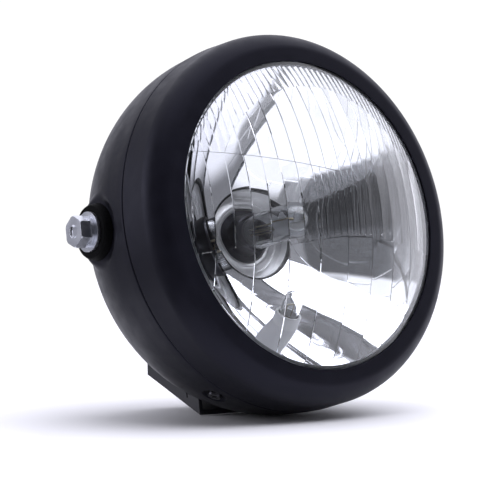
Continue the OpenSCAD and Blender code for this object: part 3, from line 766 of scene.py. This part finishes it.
# %% Back of the glass
ROOM_R = MOUTH_R
HALF_COLUMNS = int(ROOM_R / COLUMN_W)
COLUMNS = 2 * HALF_COLUMNS
ROWS = {"lower": 30, "middle": 22, "upper": 26, "crescent": 10}


def field_bounds(x):
    """Heights of the field edges at one place across, from the bottom of the room to its top."""
    top = math.sqrt(max(ROOM_R ** 2 - x * x, 0))
    low_line = LOWER_V + LOWER_SLOPE * abs(x)
    high_line = UPPER_V + UPPER_SLOPE * abs(x)
    bow = math.sqrt(max(CRESCENT_R ** 2 - x * x, 0))
    levels = [-top, low_line, high_line, max(bow, high_line), top]
    return [min(max(level, -top), top) for level in levels]


def fluted_back():
    """The fluted back of the glass as a sheet."""
    deselect()
    row_count = sum(ROWS.values()) + len(ROWS) - 1
    bpy.ops.mesh.primitive_grid_add(x_subdivisions=COLUMNS, y_subdivisions=row_count, size=2)
    sheet = bpy.context.object
    rows = []
    for index, (name, count) in enumerate(ROWS.items()):
        rows += [(name, index, i / count) for i in range(count + 1)]
    reach = {}
    for vertex in sheet.data.vertices:
        column = round((vertex.co.x + 1) / 2 * COLUMNS)
        name, index, share = rows[round((vertex.co.y + 1) / 2 * row_count)]
        x = (column - HALF_COLUMNS) * COLUMN_W
        levels = field_bounds(x)
        z = levels[index] + (levels[index + 1] - levels[index]) * share
        if (name, column) not in reach:
            reach[name, column] = flute_reach(x, *FIELDS[name])
        depth = DOME_D - math.sqrt(reach[name, column] ** 2 - z * z)
        vertex.co = at(x, depth, z)
    sheet.data.materials.append(lens_glass)
    return sheet


fluted = fluted_back()
print("fluted back", len(fluted.data.vertices), "vertices")

# %% [markdown]
# The front of the glass is spun: dome, edge and the flange that the ring grips. It ends
# in an open loop where the flutes' room begins. The two meshes are joined, the open edges
# are found, and bridging them gives the room's wall and closes the glass. The faces behind
# the ring are ground, and their pale finish shows as a line round the edge.

# %% Front of the glass, and the two joined
DOME_POINTS = 48
EDGE_ROUND = 0.6
EDGE_CURVE = ((0.2, 0.28), (0, 0.75))
CUSP_ANGLE = 9
dome_angle = math.asin((LENS_R - EDGE_ROUND) / DOME_R)
dome_turns = [dome_angle * i / DOME_POINTS for i in range(DOME_POINTS + 1)]
front_section = [(DOME_R * math.sin(turn), DOME_D - DOME_R * math.cos(turn)) for turn in dome_turns]
edge_d = front_section[-1][1]
front_section += [(LENS_R - inside, edge_d + behind) for inside, behind in EDGE_CURVE]
front_section += [
    (LENS_R, LENS_FLANGE_D), (FLANGE_R, LENS_FLANGE_D), (FLANGE_R, FLANGE_BACK), (ROOM_R, FLANGE_BACK),
]
lens = lathe("fluted_glass", front_section, lens_glass, steps=256, smooth=12)
fluted.select_set(True)
lens.select_set(True)
bpy.context.view_layer.objects.active = lens
bpy.ops.object.join()
bpy.ops.object.mode_set(mode="EDIT")
bpy.ops.mesh.select_all(action="SELECT")
bpy.ops.mesh.remove_doubles(threshold=TOUCH)
bpy.ops.mesh.select_all(action="DESELECT")
bpy.ops.mesh.select_mode(type="EDGE")
bpy.ops.mesh.select_non_manifold(extend=False, use_multi_face=False, use_verts=False)
bpy.ops.mesh.bridge_edge_loops()
bpy.ops.mesh.select_all(action="SELECT")
bpy.ops.mesh.normals_make_consistent(inside=False)
bpy.ops.mesh.select_mode(type="VERT")
bpy.ops.object.mode_set(mode="OBJECT")
bpy.ops.object.shade_smooth_by_angle(angle=math.radians(CUSP_ANGLE))
lens.data.materials.append(ground_glass)
for face in lens.data.polygons:
    around, depth = ring_place(face)
    if around > ROOM_R - 0.1 and depth > EDGE_ROUND:
        face.material_index = 1
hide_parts("lens")
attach(lens, BODY)
check = bmesh.new()
check.from_mesh(lens.data)
open_edges = sum(1 for edge in check.edges if not edge.is_manifold)
check.free()
print("glass", len(lens.data.polygons), "faces, open edges", open_edges)
deselect()

# %% [markdown]
# The rim ring is a spun and rolled sheet. It turns in round the glass, has a crease where
# the flat face meets its rounded side, and ends in a skirt with a small rolled edge at
# the seam. All of that is one half section with rounded corners.

# %% Rim ring
RING_WALL = 1.0
CREASE = (79.8, 0.1)
BULGE = (76.2, 12.1)
BULGE_R = math.hypot(CREASE[0] - BULGE[0], CREASE[1] - BULGE[1])
SKIRT_ANGLE = 5.4
BUCKET_R = 89.7
SEAM_D = 24.6
SEAM_GAP = 0.4
FACE_FALL = 0.3
FACE_ROUND = 0.25
CREASE_WIDTH = (0.9, 0.35)
CREASE_RISE = 0.03
CREASE_SHIFT = 0.6
OUTER_TURN = 3.5
INNER_TURN = 6.0
SKIRT_TUCK = 0.06
SKIRT_SHORT = 0.7
GLASS_GAP = 0.3
ring_in = LENS_R + GLASS_GAP
crease_turn = math.degrees(math.atan2(CREASE[1] - BULGE[1], CREASE[0] - BULGE[0]))


def ring_line(inset, count):
    """The outside of the ring, or a line that far inside the sheet, from the face to the skirt's end."""
    front = CREASE[1] + inset
    wide, narrow = [CREASE[0] - width - inset * CREASE_SHIFT for width in CREASE_WIDTH]
    if inset:
        face_edge = [(ring_in, front - FACE_FALL)]
        first_turn = crease_turn + INNER_TURN
    else:
        face_edge = [(ring_in, front - FACE_FALL + FACE_ROUND), (ring_in + FACE_ROUND, front - FACE_FALL)]
        first_turn = crease_turn + OUTER_TURN
    side = arc(*BULGE, BULGE_R - inset, first_turn, -SKIRT_ANGLE, count)
    skirt_end = (BUCKET_R - inset - SKIRT_TUCK, SEAM_D - SEAM_GAP - SKIRT_SHORT)
    return [*face_edge, (wide, front - CREASE_RISE), (narrow, front + CREASE_RISE), *side, skirt_end]


seam = SEAM_D - SEAM_GAP
ring_section = [
    *ring_line(inset=0, count=40),
    *arc(BUCKET_R - RING_WALL / 2, seam - RING_WALL / 2, RING_WALL / 2, start=10, end=170, count=6),
    *reversed(ring_line(inset=RING_WALL, count=30)),
]
ring_section.append(ring_section[0])
ring = lathe("spun_rim_ring", ring_section, paint, steps=256, smooth=25)
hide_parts("rim_ring")
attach(ring, BODY)
print("ring", len(ring.data.polygons), "faces")

# %% [markdown]
# The bucket is deep-drawn: a straight rim with a neck that the ring slips over, a round
# shoulder and a flat back. One spun skin with rounded corners gives that form. The pads
# for the side bolts and the dimples for the rim screws are pressed into it afterwards, as
# a die does it on the real one.

# %% Bucket skin
BUCKET_WALL = 1.2
BUCKET_DEPTH = 100.0
SHOULDER_R = 64.0
BUCKET_DRAFT = 0.3
NECK_GAP = 0.5
NECK_LEN = 5.0
NECK_R = BUCKET_R - RING_WALL - NECK_GAP
NECK_FRONT = SEAM_D - NECK_LEN
CORNER_R = BUCKET_R - BUCKET_DRAFT - SHOULDER_R
CORNER_D = BUCKET_DEPTH - SHOULDER_R
STEP_EDGE = ((0.7, 0), (0.25, 0.12), (0.06, 0.35), (0, 0.8))
BACK_RINGS = (0.8, 0.5, 0.2, 0)
SKIN_SMOOTH = 40
bucket_section = [
    (NECK_R, NECK_FRONT), (NECK_R, SEAM_D - 0.1), (NECK_R + 0.2, SEAM_D),
    *[(BUCKET_R - inside, SEAM_D + behind) for inside, behind in STEP_EDGE],
    (BUCKET_R - BUCKET_DRAFT / 2, (SEAM_D + CORNER_D) / 2),
    *arc(CORNER_R, CORNER_D, SHOULDER_R, start=0, end=89, count=72),
    *[(CORNER_R * share, BUCKET_DEPTH) for share in BACK_RINGS],
]
bucket = lathe("pressed_bucket", bucket_section, paint, steps=256, smooth=SKIN_SMOOTH)
print("bucket skin", len(bucket.data.polygons), "faces")

# %% [markdown]
# A flat pad needs finer faces than the skin has, so the faces near it are subdivided
# first. Pressing then moves each vertex towards the pad's plane: all the way inside the
# flat, and by an S-shaped share in the wall round it.

# %% Pads and screw dimples
PRESS_REACH = 30.0


def refine_near(piece, place, axis, radius, cuts):
    """Subdivides the faces around a line through a place."""
    deselect()
    bpy.context.view_layer.objects.active = piece
    piece.select_set(True)
    bpy.ops.object.mode_set(mode="EDIT")
    bpy.ops.mesh.select_mode(type="FACE")
    bpy.ops.mesh.select_all(action="DESELECT")
    mesh = bmesh.from_edit_mesh(piece.data)
    for face in mesh.faces:
        offset = face.calc_center_median() - place
        height = offset.dot(axis)
        if height > -PRESS_REACH * MM and (offset - axis * height).length < radius * MM:
            face.select_set(True)
    bmesh.update_edit_mesh(piece.data)
    bpy.ops.mesh.subdivide(number_cuts=cuts, smoothness=0)
    bpy.ops.mesh.select_mode(type="VERT")
    bpy.ops.object.mode_set(mode="OBJECT")


def press(piece, place, axis, flat_r, edge_r):
    """Presses the skin flat at a place, with an S-shaped wall from flat_r out to edge_r."""
    for vertex in piece.data.vertices:
        offset = vertex.co - place
        height = offset.dot(axis)
        aside = (offset - axis * height).length / MM
        if height > -PRESS_REACH * MM and aside < edge_r:
            share = min(max((edge_r - aside) / (edge_r - flat_r), 0), 1)
            share = share * share * (3 - 2 * share)
            vertex.co -= axis * height * share


PAD_X = 87.0
PAD_FLAT_R = 14.0
PAD_EDGE_R = 18.6
PAD_FINE_R = 24.0
SCREW_ANGLE = 28.0
SCREW_D = 36.0
DIMPLE_X = BUCKET_R - BUCKET_DRAFT - 1.6
DIMPLE_FLAT_R = 4.4
DIMPLE_EDGE_R = 6.0
DIMPLE_FINE_R = 8.5
PAD_CUTS = 3
DIMPLE_CUTS = 4
for side in (-1, 1):
    outward = Vector((side, 0, 0))
    refine_near(bucket, Vector((0, 0, 0)), outward, PAD_FINE_R, PAD_CUTS)
    press(bucket, outward * PAD_X * MM, outward, PAD_FLAT_R, PAD_EDGE_R)
    lean = math.radians(SCREW_ANGLE)
    down = Vector((-side * math.sin(lean), 0, -math.cos(lean)))
    screw_place = at(0, SCREW_D, 0) + down * DIMPLE_X * MM
    refine_near(bucket, at(0, SCREW_D, 0), down, DIMPLE_FINE_R, DIMPLE_CUTS)
    press(bucket, screw_place, down, DIMPLE_FLAT_R, DIMPLE_EDGE_R)
print("pressed skin", len(bucket.data.polygons), "faces")

# %% [markdown]
# A sheet has two sides. Solidify gives the skin its thickness inwards, and the cable's
# hole and the bolt holes are cut through with the same helper as before.

# %% Thickness and holes of the bucket
deselect()
bpy.context.view_layer.objects.active = bucket
bucket.select_set(True)
sheet = bucket.modifiers.new("sheet", "SOLIDIFY")
sheet.thickness = BUCKET_WALL * MM
sheet.offset = -1
bpy.ops.object.modifier_apply(modifier="sheet")


def punch(piece, place, axis, radius, depth):
    """Cuts a round hole along an axis."""
    deselect()
    bpy.ops.mesh.primitive_cylinder_add(
        vertices=HOLE_SIDES, radius=radius * MM, depth=depth * MM, location=place,
        rotation=axis.to_track_quat("Z", "X").to_euler())
    cut(piece, bpy.context.object)


ENTRY_Z = -11.0
ENTRY_R = 9.0
BOLT_HOLE_R = 4.4
PUNCH_LEN = 10.0
punch(bucket, at(0, BUCKET_DEPTH, ENTRY_Z), Vector((0, 1, 0)), ENTRY_R, PUNCH_LEN)
for side in (-1, 1):
    punch(bucket, Vector((side * PAD_X * MM, 0, 0)), Vector((1, 0, 0)), BOLT_HOLE_R, PUNCH_LEN)
bucket.select_set(True)
bpy.context.view_layer.objects.active = bucket
bpy.ops.object.shade_smooth_by_angle(angle=math.radians(SKIN_SMOOTH))
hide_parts("bucket")
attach(bucket, BODY)
print("bucket", len(bucket.data.polygons), "faces")
